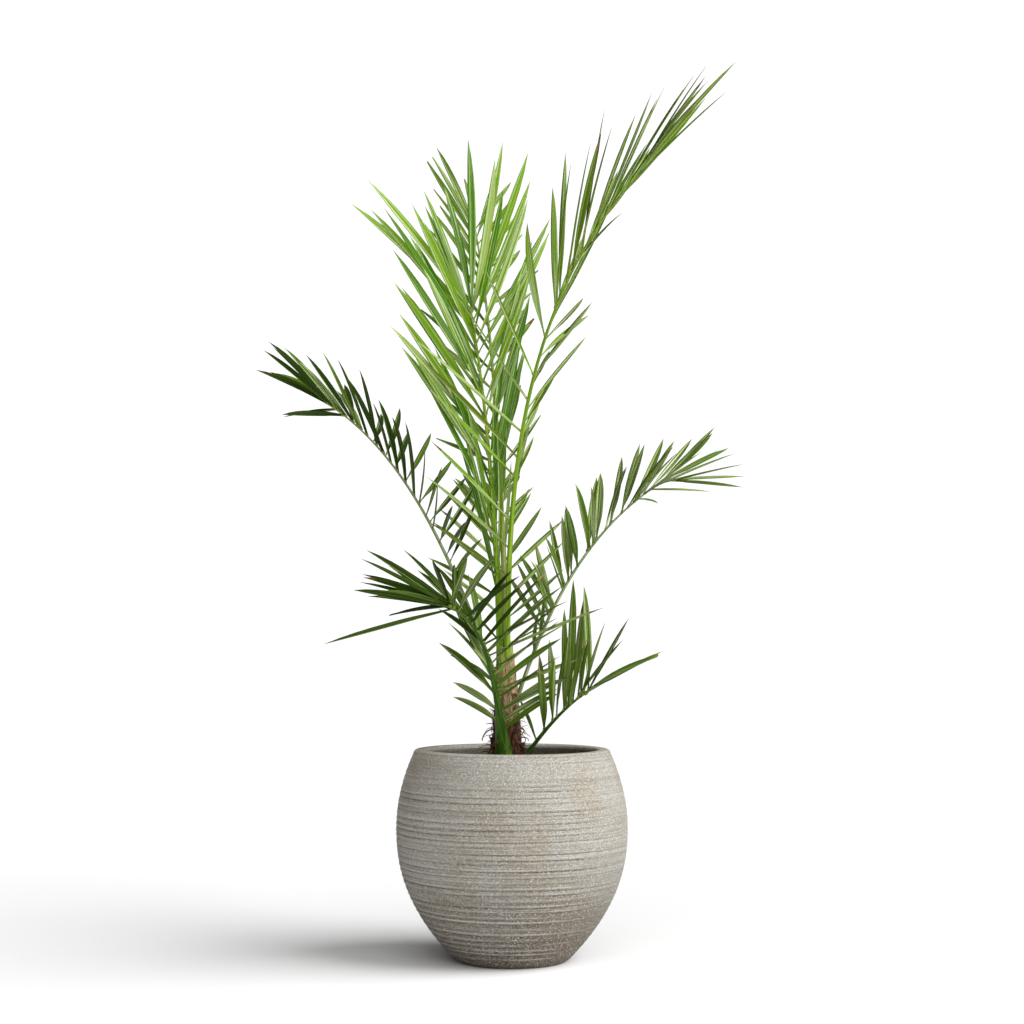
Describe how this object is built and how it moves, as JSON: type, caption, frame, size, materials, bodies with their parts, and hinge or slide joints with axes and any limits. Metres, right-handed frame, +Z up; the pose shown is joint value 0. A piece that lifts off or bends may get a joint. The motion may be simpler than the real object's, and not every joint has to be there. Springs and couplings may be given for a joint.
{
  "type": "potted canary island date palm",
  "caption": "Young feather palm with upright and arching fronds on a short fibrous trunk, standing in a round-bellied stone planter.",
  "frame": {"origin": "centre of the pot's flat underside", "axes": "+Z up along the plant, -Y towards the viewer of the front, +X to the right of that view"},
  "size_m": [0.753, 0.7263, 1.3198],
  "materials": {
    "pot_stone": "warm light grey cast stone, speckled, with fine uneven level grooves",
    "potting_soil": "dark brown crumbly potting compost",
    "trunk_fibre": "brown matted fibre with rings",
    "old_leaf_base": "dry tan cut leaf base",
    "spear_straw": "straw-coloured folded young leaf",
    "frond_bright_green": "bright yellow-green, glossy, with pale streaks",
    "frond_mid_green": "mid green, half gloss, fine lengthwise veins",
    "frond_dark_green": "dark green, half gloss, fine lengthwise veins",
    "frond_grey_green": "grey-green with brown tips"
  },
  "bodies": {
    "root": {"pot": "pot_stone", "soil": "potting_soil", "trunk": "trunk_fibre", "leaf_base_1": "old_leaf_base", "leaf_base_2": "old_leaf_base", "leaf_base_3": "old_leaf_base", "leaf_base_4": "old_leaf_base", "leaf_base_5": "old_leaf_base", "spear_leaf": "spear_straw", "frond_tall_right": "frond_mid_green", "frond_upright_front": "frond_bright_green", "frond_upright_back": "frond_mid_green", "frond_arching_left": "frond_dark_green", "frond_arching_right": "frond_grey_green", "frond_low_left": "frond_dark_green", "frond_low_right": "frond_grey_green", "frond_low_back": "frond_mid_green"}
  },
  "joints": []
}
